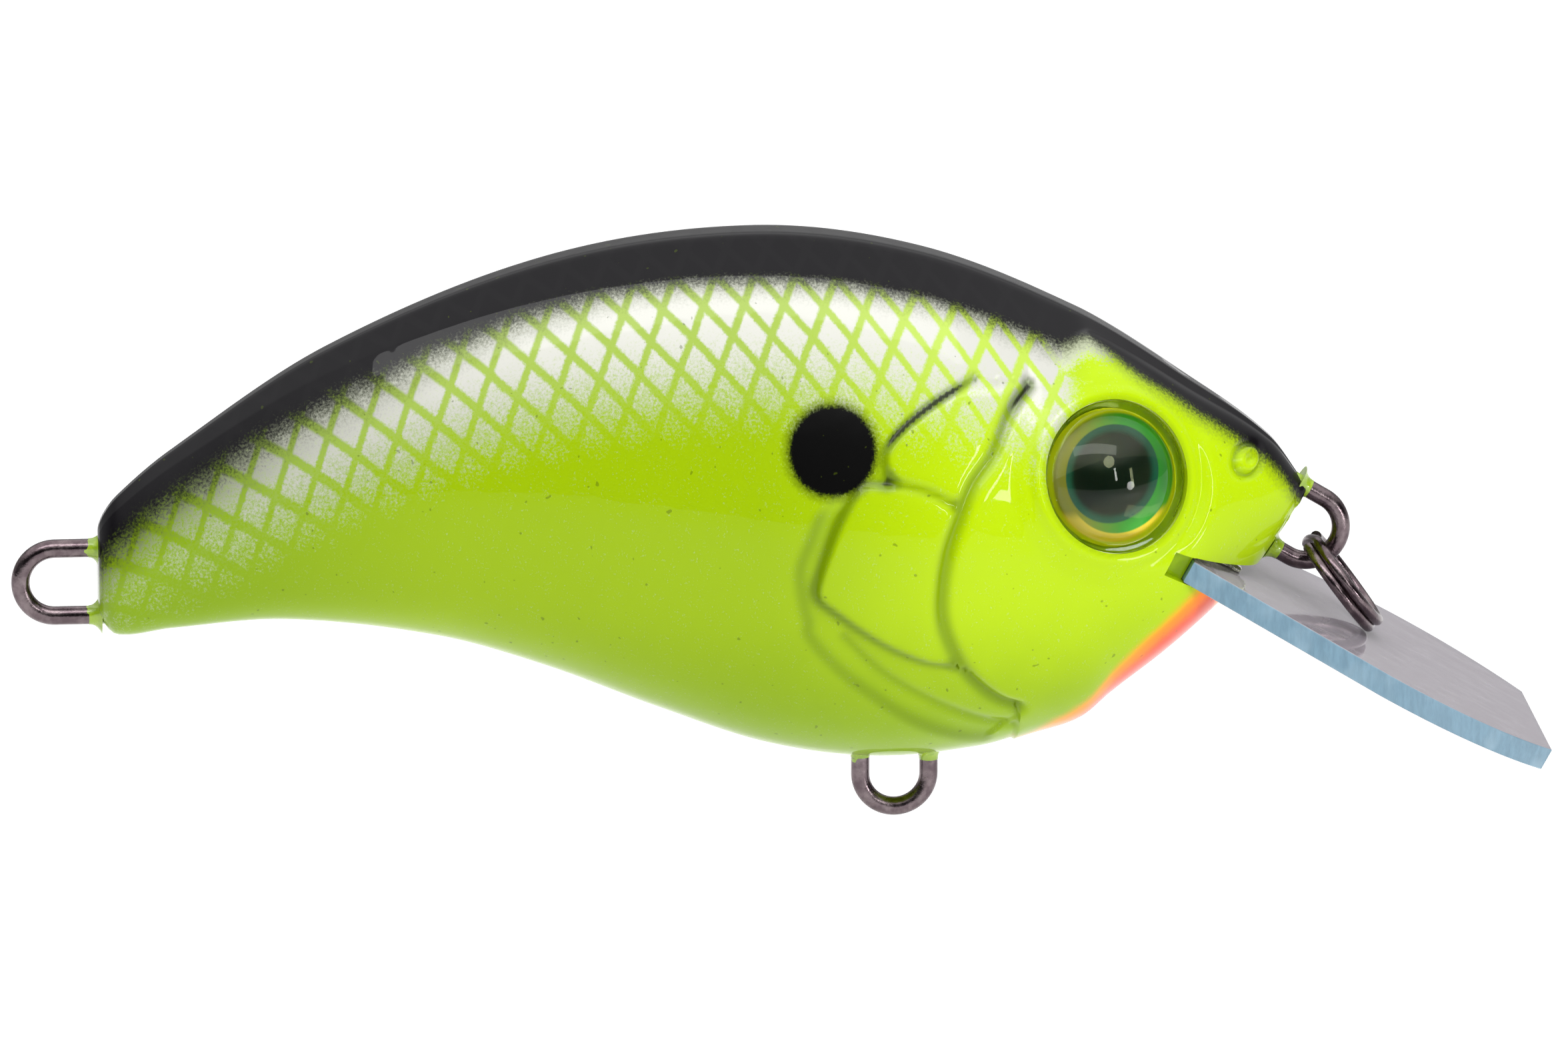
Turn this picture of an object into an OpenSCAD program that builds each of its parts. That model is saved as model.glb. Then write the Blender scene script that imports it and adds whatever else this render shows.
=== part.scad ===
/* [Body] */
// Length of the body from the nose tip to the tail end
body_len = 65.1; // [55:0.1:80]
// Height of the arched back above the line tie
back_h = 17.1; // [15:0.1:20]
// Depth of the belly below the line tie
belly_d = 12.0; // [11:0.1:14]
// Half of the body's greatest width
half_w = 8.6; // [7.5:0.1:10]
// Wall thickness of the half shells
wall = 1.3; // [1:0.1:1.6]

/* [Bill] */
// Slope of the bill below the horizontal, in degrees
bill_slope = 29.1; // [26:0.1:32]
// Length of the bill ahead of its shoulders
bill_len = 22.2; // [18:0.1:26]
// Thickness of the polycarbonate plate
bill_t = 1.25; // [1:0.05:1.6]
// Half width of the bill at its shoulders
bill_root_w = 6.1; // [5:0.1:6.5]
// Half of the bill's greatest width
bill_half_w = 9.4; // [8:0.1:11]
// Half width of the bill's square tip
bill_tip_w = 6.2; // [4:0.1:7]

/* [Wire and rings] */
// Diameter of the hanger wire
wire_d = 1.0; // [0.8:0.05:1.1]
// Outer diameter of the three wire eyes
eye_od = 4.7; // [4.4:0.1:5]
// Outer diameter of the split ring
ring_od = 6.25; // [6:0.05:6.5]
// Diameter of the split ring's wire
ring_wire_d = 0.62; // [0.5:0.02:0.7]

/* [Eyes] */
// Outer diameter of the eye lens flange
lens_d = 8.2; // [7.5:0.1:8.4]
// Diameter of the lens dome
dome_d = 7.1; // [6:0.1:7.4]
// Height of the dome above the flange
dome_h = 1.8; // [1:0.1:2.2]

/* [Weights] */
// Diameter of the front and middle rattle balls
rattle_d = 3.18; // [2.5:0.01:3.3]
// Diameter of the rear rattle ball
small_rattle_d = 2.4; // [2:0.1:2.5]
// Diameter of the steel slug in the chest
slug_d = 4.6; // [4:0.1:5]
// Diameter of the fixed ballast ball behind the belly hanger
ballast_ball_d = 4.0; // [3:0.1:4.2]

/* [Hidden] */

$fn = 48;
RIGHT = -1;
LEFT = 1;
gap = 0.05;             // assembly clearance round every bought-in piece
nose_x = -0.1;          // the nose tip lies just behind the line tie's centre

// Side outline and width along the body: [share of the length behind the nose, share of the dimension]
back_knots = [[0, 0.14], [0.03, 0.30], [0.1, 0.50], [0.19, 0.72], [0.32, 0.925], [0.46, 1],
              [0.63, 0.915], [0.81, 0.645], [0.94, 0.32], [0.985, 0.175], [1, 0.10]];
belly_knots = [[0, -0.17], [0.04, 0.15], [0.075, 0.33], [0.12, 0.54], [0.165, 0.725], [0.19, 0.835],
               [0.23, 0.90], [0.275, 0.965], [0.36, 1], [0.45, 0.925], [0.54, 0.75], [0.63, 0.554],
               [0.72, 0.405], [0.845, 0.318], [0.94, 0.351], [0.985, 0.375], [1, 0.30]];
width_knots = [[0, 0.05], [0.02, 0.22], [0.05, 0.42], [0.1, 0.70], [0.17, 0.85], [0.25, 0.95], [0.36, 1],
               [0.46, 0.98], [0.58, 0.89], [0.7, 0.72], [0.82, 0.53], [0.92, 0.36], [0.985, 0.27], [1, 0.20]];
stations = [0, 0.008, 0.02, 0.04, 0.065, 0.09, 0.12, 0.15, 0.175, 0.19, 0.21, 0.24, 0.275, 0.315, 0.36, 0.41,
            0.46, 0.51, 0.56, 0.61, 0.66, 0.71, 0.76, 0.81, 0.86, 0.90, 0.94, 0.97, 0.985, 0.995, 1];

// ---- smooth curves through knots ------------------------------------------
function knot_slope(k, i) =
    let (a = k[max(i - 1, 0)], b = k[min(i + 1, len(k) - 1)]) (b[1] - a[1]) / (b[0] - a[0]);
function knot_before(k, s, i = 0) =
    (i >= len(k) - 2 || s <= k[i + 1][0]) ? i : knot_before(k, s, i + 1);
function curve(k, s) =
    let (i = knot_before(k, s), h = k[i + 1][0] - k[i][0], t = (s - k[i][0]) / h)
    (2 * t^3 - 3 * t^2 + 1) * k[i][1] + (t^3 - 2 * t^2 + t) * h * knot_slope(k, i)
    + (3 * t^2 - 2 * t^3) * k[i + 1][1] + (t^3 - t^2) * h * knot_slope(k, i + 1);
function mix(a, b, t) = a + (b - a) * t;
function ease(a, b, s) = let (t = min(max((s - a) / (b - a), 0), 1)) t * t * (3 - 2 * t);

// ---- body sections ----------------------------------------------------------
widest_at = 0.45;       // height of the widest line, as a share of the section's height
head_end = 0.17;        // the rounded head gives way to the bevelled back here
bevel_start = 0.22;
upper_n = 6;            // points of a section above and below the widest line
lower_n = 7;

function station_x(s) = nose_x - s * body_len;
function station_of(x) = (nose_x - x) / body_len;
function top_z(s) = back_h * curve(back_knots, s);
function bottom_z(s) = -belly_d * curve(belly_knots, s);
function half_width(s) = half_w * curve(width_knots, s);

// Half section: flat ridge strip, bevel down to the crease, side, rounded belly
function section(s, inset = 0, floor_z = -100) =
    let (top = top_z(s) - inset * 1.2,
         low = max(bottom_z(s) + inset * 1.2, floor_z),
         w = half_width(s) - inset,
         k = ease(head_end, bevel_start, s),
         crease_y = w * mix(0.24, 0.38, k),
         crease_z = top - min(w * mix(0.07, 0.21, k), (top - low) * 0.2),
         wide_z = min(low + (top - low) * widest_at, crease_z - 0.05),
         round = mix(1.7, 1, k))
    concat([[0, top], [w * 0.13, top]],
           [for (i = [0 : upper_n - 1]) let (t = i / upper_n)
               [crease_y + (w - crease_y) * (1 - (1 - t)^1.8)^(1 / round), mix(crease_z, wide_z, t)]],
           [for (i = [0 : lower_n]) let (t = sin(90 * i / lower_n))
               [i == lower_n ? 0 : w * (1 - t^2.4)^0.5, mix(wide_z, low, t)]]);

// Closed half solid on the +Y side, through the sections at the given stations
module loft(ss, inset = 0, floor_z = -100) {
    rings = [for (s = ss) [for (p = section(s, inset, floor_z)) [station_x(s), p[0], p[1]]]];
    n = len(rings[0]);
    m = len(rings);
    faces = concat(
        [for (i = [0 : m - 2], j = [0 : n - 2])
            [i * n + j, (i + 1) * n + j, (i + 1) * n + j + 1, i * n + j + 1]],
        [for (i = [0 : m - 2]) [i * n + n - 1, (i + 1) * n + n - 1, (i + 1) * n, i * n]],
        [[for (j = [0 : n - 1]) j]],
        [[for (j = [n - 1 : -1 : 0]) (m - 1) * n + j]]);
    polyhedron([for (r = rings) each r], faces, convexity = 6);
}

module cavity(x0, x1, floor_z) {
    s0 = station_of(x0);
    s1 = station_of(x1);
    steps = max(3, round((s1 - s0) / 0.04));
    loft([for (i = [0 : steps]) mix(s0, s1, i / steps)], wall, floor_z);
}

// ---- places -------------------------------------------------------------------
// Wire eyes: centre of the outer bend and the way its legs run into the body, in degrees above +X
line_tie_at = [0, 0, 0];
line_tie_turn = 149;
belly_eye_at = [-22.3, 0, -13.2];
tail_eye_at = [-67.5, 0, -1.6];
link_len = 5.2;         // from the outer bend's centre to the anchor bend's

bill_root = [-6.75, 0, -0.3];   // top face of the bill at its shoulders
slot_back = 1.2;        // the slot runs this far behind the shoulders
tang_len = 5;
tang_w = 4.4;
mouth_gap = 0.75;       // height of the slot's open mouth above the bill

lens_at = [-10.9, 6.55, 4.64];
lens_turn = 71;         // the eye looks this far round from +X towards the side
lens_lift = 16;         // and this far above the horizontal
pocket_deep = 1.35;
bezel_w = 0.85;         // the moulded bezel round each eye: width of its rim,
bezel_low = 0.5;        // its height below the eye's centre plane
bezel_deep = 3;         // and how far its boss reaches into the head

cavities = [[-14.6, -19.6, -3], [-20.6, -31.2, -5.2], [-32.4, -58, -100]];
// Rattle chambers: [x, z, half length of the bore, half length of the boss, ball diameter]
chambers = [[-34.5, 3, 5.6, 7.2, rattle_d], [-41.5, 3.5, 4.4, 6.1, rattle_d],
            [-48.5, 3.3, 3.2, 4.6, small_rattle_d]];
chamber_slack = 0.3;    // the chamber's bore is this much wider than its ball
boss_wall = 0.7;
// Weld pins: [x, z, length of the boss behind the parting plane]
pins = [[-26, 10.5, 5.2], [-55, 1.5, 3.4], [-12.6, -6, 3]];
pin_d = 1.6;
pin_len = 2;

slug_at = [-17, 0, -6.1];
slug_len = 7.4;
ballast_ball_at = [-28.5, 0, -8];

// ---- body halves ----------------------------------------------------------------
module across(x, z, r, h) translate([x, h, z]) rotate([90, 0, 0]) cylinder(r = r, h = h);

module shell() {
    difference() {
        union() {
            difference() {
                loft(stations);
                for (c = cavities) cavity(c[0], c[1], c[2]);
            }
            for (c = chambers) across(c[0], c[1], (c[4] + chamber_slack) / 2 + boss_wall, c[3]);
            for (p = pins) across(p[0], p[1], pin_d / 2 + boss_wall, p[2]);
            at_eye() translate([0, 0, -bezel_deep]) cylinder(d = lens_d + 2 * bezel_w, h = bezel_deep - bezel_low);
        }
        for (c = chambers) translate([0, -1, 0]) across(c[0], c[1], (c[4] + chamber_slack) / 2, c[2] + 1);
        at_eye() translate([0, 0, -pocket_deep]) cylinder(d = lens_d + 2 * gap, h = 6);
        slot();
        wire_link(line_tie_at, line_tie_turn, gap);
        wire_link(belly_eye_at, 90, gap);
        wire_link(tail_eye_at, 0, gap);
        translate(slug_at) rotate([90, 0, 0]) cylinder(d = slug_d + 2 * gap, h = slug_len + 2 * gap, center = true);
        translate(ballast_ball_at) rotate([90, 0, 0])
            cylinder(d = ballast_ball_d + 2 * gap, h = ballast_ball_d + 2 * gap, center = true);
    }
}

module body_left() color("yellowgreen") union() {
    shell();
    for (p = pins) translate([0, -pin_len, 0]) across(p[0], p[1], pin_d / 2, pin_len + 0.5);
}

module body_right() color("yellowgreen") mirror([0, 1, 0]) difference() {
    shell();
    for (p = pins) translate([0, -1, 0]) across(p[0], p[1], pin_d / 2 + gap, pin_len + 1 + 2 * gap);
}

// ---- bill -----------------------------------------------------------------------
module on_bill() translate(bill_root) rotate([0, bill_slope, 0]) children();

bulge_at = 0.62;        // the bill is widest at this share of its length
tip_drop = bill_half_w - bill_tip_w;
tip_run = bill_len * (1 - bulge_at);
bulge_r = (tip_run^2 + tip_drop^2) / (2 * tip_drop);

function bill_edge() =
    [for (i = [-2 : 8]) let (d = bill_len * bulge_at + tip_run * i / 8)
        [d, bill_half_w - bulge_r + sqrt(bulge_r^2 - (d - bill_len * bulge_at)^2)]];

module bill() color("lightsteelblue", 0.6) on_bill() translate([0, 0, -bill_t]) linear_extrude(bill_t)
    polygon(concat([[-tang_len, tang_w], [-0.4, tang_w], [0, tang_w + 0.4], [0, bill_root_w]], bill_edge(),
                   [for (i = [len(bill_edge()) - 1 : -1 : 0]) [bill_edge()[i][0], -bill_edge()[i][1]]],
                   [[0, -bill_root_w], [0, -tang_w - 0.4], [-0.4, -tang_w], [-tang_len, -tang_w]]));

// The slot across the jaw opens into a wedge above the bill; the tang goes deeper
module slot() on_bill() {
    rotate([90, 0, 0]) linear_extrude(40, center = true)
        polygon([[-slot_back, -bill_t - gap], [30, -bill_t - gap], [30, mouth_gap], [4, mouth_gap],
                 [-slot_back, gap]]);
    translate([-tang_len - gap, -tang_w - gap, -bill_t - gap])
        cube([tang_len, 2 * (tang_w + gap), bill_t + 2 * gap]);
}

module bill_glue() color("honeydew", 0.5) on_bill() rotate([90, 0, 0]) linear_extrude(5.6, center = true)
    polygon([[0.2, 0.01], [4.2, 0.01], [3.7, 0.3], [3.4, mouth_gap - 0.12], [0.6, 0.22]]);

// ---- wire eyes --------------------------------------------------------------------
eye_r = (eye_od - wire_d) / 2;

// Closed wire link: outer bend at the origin, anchor bend inside the body, two straight legs
module wire_link(at, turn, grow = 0) {
    r = wire_d / 2 + grow;
    translate(at) rotate([90, -turn, 0]) mirror([0, 0, 1]) {
        for (end = [0, 1]) translate([end * link_len, 0, 0]) rotate(90 - end * 180)
            rotate_extrude(angle = 180) translate([eye_r, 0]) rotate(-90) circle(r);
        for (side = [-1, 1]) translate([0, side * eye_r, 0])
            rotate([0, 90, 0]) cylinder(r = r, h = link_len);
    }
}

module line_tie() color("dimgray") wire_link(line_tie_at, line_tie_turn);
module belly_hanger() color("dimgray") wire_link(belly_eye_at, 90);
module tail_hanger() color("dimgray") wire_link(tail_eye_at, 0);

// ---- split ring ---------------------------------------------------------------------
ring_turn = 53.4;      // the ring leans this far below the horizontal, resting just over the bill
ring_at = [1.93, 0, -3.07];
ring_r = (ring_od - ring_wire_d) / 2;

module split_ring() color("gray") translate(ring_at) rotate([0, ring_turn, 0])
    for (side = [-1, 1]) translate([0, 0, side * ring_wire_d * 0.46])
        rotate_extrude() translate([ring_r, 0]) circle(d = ring_wire_d);

// ---- eyes ------------------------------------------------------------------------------
module at_eye() translate(lens_at) rotate([0, 90 - lens_lift, lens_turn]) children();
module on_side(side) mirror([0, side == RIGHT ? 1 : 0, 0]) children();

foil_t = 0.15;
flange_t = 0.6;
dome_r = (dome_h^2 + (dome_d / 2)^2) / (2 * dome_h);

module lens() at_eye() translate([0, 0, -pocket_deep + foil_t + 2 * gap]) rotate_extrude() {
    square([lens_d / 2, flange_t]);
    translate([0, flange_t]) intersection() {
        translate([0, dome_h - dome_r]) circle(dome_r);
        translate([0, -0.1]) square([dome_d / 2, dome_h + 0.2]);
    }
}
module foil() at_eye() translate([0, 0, -pocket_deep + gap]) cylinder(d = lens_d - 0.8, h = foil_t);

module eye_lens_right() color("palegreen", 0.5) on_side(RIGHT) lens();
module eye_lens_left() color("palegreen", 0.5) on_side(LEFT) lens();
module eye_foil_right() color("seagreen") on_side(RIGHT) foil();
module eye_foil_left() color("seagreen") on_side(LEFT) foil();

// ---- weights and rattles -----------------------------------------------------------------
module chest_slug() color("silver") translate(slug_at) rotate([90, 0, 0])
    cylinder(d = slug_d, h = slug_len, center = true);
module ballast_ball() color("silver") translate(ballast_ball_at) sphere(d = ballast_ball_d);
module rattle(c) color("silver") translate([c[0], 0, c[1]]) sphere(d = c[4]);
module rattle_ball_front() rattle(chambers[0]);
module rattle_ball_middle() rattle(chambers[1]);
module rattle_ball_rear() rattle(chambers[2]);

body_right();
body_left();
bill();
bill_glue();
line_tie();
belly_hanger();
tail_hanger();
split_ring();
eye_lens_right();
eye_lens_left();
eye_foil_right();
eye_foil_left();
chest_slug();
ballast_ball();
rattle_ball_front();
rattle_ball_middle();
rattle_ball_rear();
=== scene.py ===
"""Crankbait lure: two painted half shells, polycarbonate bill, wire eyes, split ring and domed 3-D eyes."""
import math

import bmesh
import bpy
import numpy as np
from bpy.props import FloatProperty, PointerProperty, StringProperty
from mathutils import Matrix, Vector, noise


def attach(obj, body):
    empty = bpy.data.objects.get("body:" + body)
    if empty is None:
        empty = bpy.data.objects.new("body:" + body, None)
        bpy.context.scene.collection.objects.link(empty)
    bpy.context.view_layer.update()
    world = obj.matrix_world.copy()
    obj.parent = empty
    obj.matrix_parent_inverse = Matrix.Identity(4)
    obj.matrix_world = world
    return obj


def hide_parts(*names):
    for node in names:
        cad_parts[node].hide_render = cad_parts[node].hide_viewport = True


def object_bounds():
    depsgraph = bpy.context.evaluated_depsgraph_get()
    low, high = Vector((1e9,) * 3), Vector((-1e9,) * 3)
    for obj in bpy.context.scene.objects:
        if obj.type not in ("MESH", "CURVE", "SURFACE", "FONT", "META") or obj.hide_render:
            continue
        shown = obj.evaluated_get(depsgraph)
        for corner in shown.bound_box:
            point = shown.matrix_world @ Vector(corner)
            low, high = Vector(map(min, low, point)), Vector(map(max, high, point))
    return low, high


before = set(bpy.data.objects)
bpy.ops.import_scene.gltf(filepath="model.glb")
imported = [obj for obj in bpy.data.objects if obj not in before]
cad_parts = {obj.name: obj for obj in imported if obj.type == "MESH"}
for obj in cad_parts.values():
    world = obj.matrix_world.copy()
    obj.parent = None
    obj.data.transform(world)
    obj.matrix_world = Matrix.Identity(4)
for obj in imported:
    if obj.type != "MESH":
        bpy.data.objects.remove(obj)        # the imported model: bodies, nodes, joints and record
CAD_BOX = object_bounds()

bl_info = {
    "name": "Crankbait lure",
    "version": (1, 0, 0),
    "blender": (4, 5, 0),
    "location": "View3D > Sidebar > Lure",
    "description": "Builds the painted body, bill, wire eyes, split ring and eyes of a crankbait",
    "category": "Object",
}

MM = 0.001

# ---- the body's lines, in millimetres, shared with the CAD source ---------------------------
BODY_LEN, BACK_H, BELLY_D, HALF_W, NOSE_X = 65.1, 17.1, 12.0, 8.6, -0.1
BACK = [[0, .14], [.03, .30], [.1, .50], [.19, .72], [.32, .925], [.46, 1], [.63, .915], [.81, .645],
        [.94, .32], [.985, .175], [1, .10]]
BELLY = [[0, -.17], [.04, .15], [.075, .33], [.12, .54], [.165, .725], [.19, .835], [.23, .90], [.275, .965],
         [.36, 1], [.45, .925], [.54, .75], [.63, .554], [.72, .405], [.845, .318], [.94, .351], [.985, .375],
         [1, .30]]
WIDTH = [[0, .05], [.02, .22], [.05, .42], [.1, .70], [.17, .85], [.25, .95], [.36, 1], [.46, .98],
         [.58, .89], [.7, .72], [.82, .53], [.92, .36], [.985, .27], [1, .20]]
WIDEST_AT = 0.45
HEAD_END, BEVEL_START = 0.182, 0.212
WALL = 1.3
CAVITIES = [(-14.6, -19.6, -3), (-20.6, -31.2, -5.2), (-32.4, -58, -100)]

# Lines moulded in the gill covers, on the side of the body: (x, z)
GILL_UPPER = [(-18.65, 9.79), (-20.95, 8.54), (-22.52, 7.45), (-23.39, 6.45), (-23.45, 5.7), (-23.01, 4.85)]
GILL_SPLIT = [(-23.2, 4.9), (-21.36, 4.39), (-19.98, 3.67)]
GILL_LOWER = [(-23.01, 4.85), (-23.6, 4.68), (-24.75, 4.64), (-25.39, 3.85), (-26.24, 2.23), (-27.06, -.16),
              (-27.13, -1.17), (-26.37, -1.9), (-23.86, -3.71), (-21.63, -4.82), (-20.0, -5.2)]
GILL_BAND = [(-26.77, 3.61), (-27.48, 1.83), (-28.03, .28), (-27.88, -1.45), (-27.59, -2.62), (-27.44, -3.52),
             (-25.75, -5.5), (-23.62, -7.28), (-21.46, -8.85), (-19.28, -9.91), (-17.84, -10.26)]
GILL_RAY = [(-25.79, -3.53), (-23.68, -5.69), (-20.98, -7.52), (-17.96, -9.06), (-16.38, -9.43)]
CHEEK = [(-15.57, 9.33), (-16.62, 8.16), (-17.68, 6.06), (-18.85, 4.55), (-19.58, 2.85), (-20.29, .8),
         (-20.56, -2.04), (-19.98, -4.13), (-18.82, -6.01), (-17.37, -7.37), (-16.21, -7.97)]
NOSTRIL = (-3.57, 4.5)
SHOULDER_SPOT = (-26.35, 6.58)

# Places of the fittings
LENS_AT, LENS_TURN, LENS_LIFT, POCKET_DEEP = (-10.9, 6.55, 4.64), 71, 16, 1.35
LENS_D, DOME_D, DOME_H, FLANGE_T, FOIL_T, GAP = 8.2, 7.1, 1.8, 0.6, 0.15, 0.05
BILL_ROOT, BILL_SLOPE, BILL_LEN, BILL_T = (-6.75, 0, -0.3), 29.1, 22.2, 1.25
BILL_ROOT_W, BILL_HALF_W, BILL_TIP_W, TANG_LEN, TANG_W, BULGE_AT = 6.1, 9.4, 6.2, 5, 4.4, 0.62
SLOT_BACK, MOUTH_GAP = 1.2, 0.75
CUT_FAR = 30                # how far the slot's cutters run out past the side
WIRE_D, EYE_R, LINK_LEN = 1.0, 1.85, 5.2
FLOOR_DROP = .035           # metres from the lowest point of the lure down to the floor
VIEW_MIDDLE, VIEW_RISE, VIEW_WIDTH = -28.17, .22, 84.51     # what the camera frames
# Wire eyes: centre of the outer bend, turn, and where its two legs meet the body's surface
LINKS = [((0, 0, 0), 149, (1.35, .95)), ((-22.3, 0, -13.2), 90, (1.1, 1.3)),
         ((-67.5, 0, -1.6), 0, (2.15, 2.15))]
COLLAR_LEN, COLLAR_FLARE, COLLAR_SKIN = .7, .36, .02        # lacquer drawn up a wire
RING_AT, RING_TURN, RING_R, RING_WIRE_D = (1.93, 0, -3.07), 53.4, 2.815, 0.62
RATTLE_TUBES = [(-34.5, 3, 5.6, 3.18), (-41.5, 3.5, 4.4, 3.18), (-48.5, 3.3, 3.2, 2.4)]


# ---- small helpers --------------------------------------------------------------------------
def linear(code):
    """sRGB hex to a linear RGBA colour."""
    parts = [int(code[i:i + 2], 16) / 255 for i in (1, 3, 5)]
    return [c / 12.92 if c <= 0.04045 else ((c + 0.055) / 1.055) ** 2.4 for c in parts] + [1.0]


def add(tree, kind, links=None, **settings):
    """Adds a node; links maps an input's name or number to a value or to another node's output."""
    made = tree.nodes.new("ShaderNode" + kind)
    for key, value in settings.items():
        setattr(made, key, value)
    for key, value in (links or {}).items():
        socket = made.inputs[key]
        if isinstance(value, bpy.types.NodeSocket):
            tree.links.new(value, socket)
        else:
            socket.default_value = value
    return made


def new_material(name):
    mat = bpy.data.materials.new(name)
    mat.use_nodes = True
    mat.node_tree.nodes.clear()
    return mat, mat.node_tree


def finish_material(mat, shader):
    tree = mat.node_tree
    add(tree, "OutputMaterial", {"Surface": shader.outputs[0]})
    return mat


def smooth_step(a, b, x):
    t = np.clip((x - a) / (b - a), 0, 1)
    return t * t * (3 - 2 * t)


def mix(a, b, t):
    return a + (b - a) * t


def finish_piece(name, bm, materials, body, nodes=(), sharp=35):
    """Closes a bmesh, given in millimetres, as a piece in metres that rides on a body."""
    bmesh.ops.scale(bm, vec=(MM, MM, MM), verts=bm.verts)
    mesh = bpy.data.meshes.new(name)
    bm.to_mesh(mesh)
    bm.free()
    return finish_mesh(name, mesh, materials, body, nodes, sharp)


def finish_mesh(name, mesh, materials, body, nodes=(), sharp=35):
    mesh.name = name
    piece = bpy.data.objects.new(name, mesh)
    bpy.context.scene.collection.objects.link(piece)
    for mat in materials:
        mesh.materials.append(mat)
    mesh.shade_smooth()
    mesh.set_sharp_from_angle(angle=math.radians(sharp))
    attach(piece, body)
    if nodes:
        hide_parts(*nodes)
    return piece


def only(kind, geometry):
    return [g for g in geometry if isinstance(g, kind)]


def pull_face(bm, face, by):
    """Extrudes a face into a solid."""
    out = bmesh.ops.extrude_face_region(bm, geom=[face])
    bmesh.ops.translate(bm, vec=by, verts=only(bmesh.types.BMVert, out["geom"]))


def place(at, *turns):
    """A place in millimetres: turns are (degrees, axis), outermost first."""
    m = Matrix.Translation(at)
    for degrees, axis in turns:
        m = m @ Matrix.Rotation(math.radians(degrees), 4, axis)
    return m


def eye_place(side):
    """The eye's own frame on the left side, or its mirror on the right."""
    m = place(LENS_AT, (LENS_TURN, "Z"), (90 - LENS_LIFT, "Y"))
    return m if side > 0 else Matrix.Scale(-1, 4, (0, 1, 0)) @ m


def bill_place():
    return place(BILL_ROOT, (BILL_SLOPE, "Y"))


# ---- the body's surface -----------------------------------------------------------------------
def curve(knots, s):
    """Catmull-Rom curve through the knots, as in the CAD source."""
    k = np.array(knots, float)
    n = len(k)
    lo, hi = np.maximum(np.arange(n) - 1, 0), np.minimum(np.arange(n) + 1, n - 1)
    slope = (k[hi, 1] - k[lo, 1]) / (k[hi, 0] - k[lo, 0])
    i = np.clip(np.searchsorted(k[:, 0], s, side="left") - 1, 0, n - 2)
    h = k[i + 1, 0] - k[i, 0]
    t = (s - k[i, 0]) / h
    return ((2 * t**3 - 3 * t**2 + 1) * k[i, 1] + (t**3 - 2 * t**2 + t) * h * slope[i]
            + (3 * t**2 - 2 * t**3) * k[i + 1, 1] + (t**3 - t**2) * h * slope[i + 1])


def section_columns():
    """(zone, share) of each line that runs along a half body, from the ridge to the keel."""
    strip = [(0, i / 4) for i in range(4)]
    bevel = [(1, t) for t in (0, .05, .14, .3, .5, .7, .86, .95)]
    upper = [(2, (i / 58) ** 1.35) for i in range(58)]
    lower = [(3, i / 66) for i in range(67)]
    return strip + bevel + upper + lower


def sections(s, columns, inset=0.0, floor_z=-100.0):
    """Y and Z, in rows by station and columns round the half section."""
    top = BACK_H * curve(BACK, s) - inset * 1.2
    low = np.maximum(-BELLY_D * curve(BELLY, s) + inset * 1.2, floor_z)
    w = HALF_W * curve(WIDTH, s) - inset
    k = smooth_step(HEAD_END, BEVEL_START, s)
    crease_y = w * mix(.24, .38, k)
    crease_z = top - np.minimum(w * mix(.07, .21, k), (top - low) * .2)
    wide_z = np.minimum(low + (top - low) * WIDEST_AT, crease_z - .05)
    rounding = mix(1.7, 1, k)
    y, z = [], []
    for zone, t in columns:
        if zone == 0:
            y.append(w * .13 * t)
            z.append(top + 0 * w)
        elif zone == 1:
            y.append(mix(w * .13, crease_y, t))
            z.append(mix(top, crease_z, t))
        elif zone == 2:
            y.append(crease_y + (w - crease_y) * (1 - (1 - t) ** 1.8) ** (1 / rounding))
            z.append(mix(crease_z, wide_z, t))
        else:
            a = math.sin(math.pi / 2 * t)
            y.append(w * max(0, 1 - a ** 2.4) ** .5)
            z.append(mix(wide_z, low, a))
    y, z = np.array(y).T, np.array(z).T
    y[:, -1] = 0
    return y, z


def rounded_path(points, steps=6):
    """Points of a smooth line through a few given ones."""
    p = np.array(points, float)
    ends = np.vstack([2 * p[0] - p[1], p, 2 * p[-1] - p[-2]])
    out = []
    for i in range(1, len(ends) - 2):
        a, b, c, d = ends[i - 1:i + 3]
        for j in range(steps):
            t = j / steps
            out.append(.5 * (2 * b + (c - a) * t + (2 * a - 5 * b + 4 * c - d) * t**2
                             + (3 * b - a - 3 * c + d) * t**3))
    return np.array(out + [p[-1]])


def path_distance(x, z, path):
    best = np.full(x.shape, 1e9)
    for (ax, az), (bx, bz) in zip(path[:-1], path[1:]):
        dx, dz = bx - ax, bz - az
        t = np.clip(((x - ax) * dx + (z - az) * dz) / (dx * dx + dz * dz + 1e-12), 0, 1)
        best = np.minimum(best, np.hypot(x - ax - t * dx, z - az - t * dz))
    return best


def inside(x, z, ring):
    odd = np.zeros(x.shape, bool)
    for (ax, az), (bx, bz) in zip(ring, np.roll(ring, -1, axis=0)):
        if az != bz:
            odd ^= ((az > z) != (bz > z)) & (x < (bx - ax) * (z - az) / (bz - az) + ax)
    return odd


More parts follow.
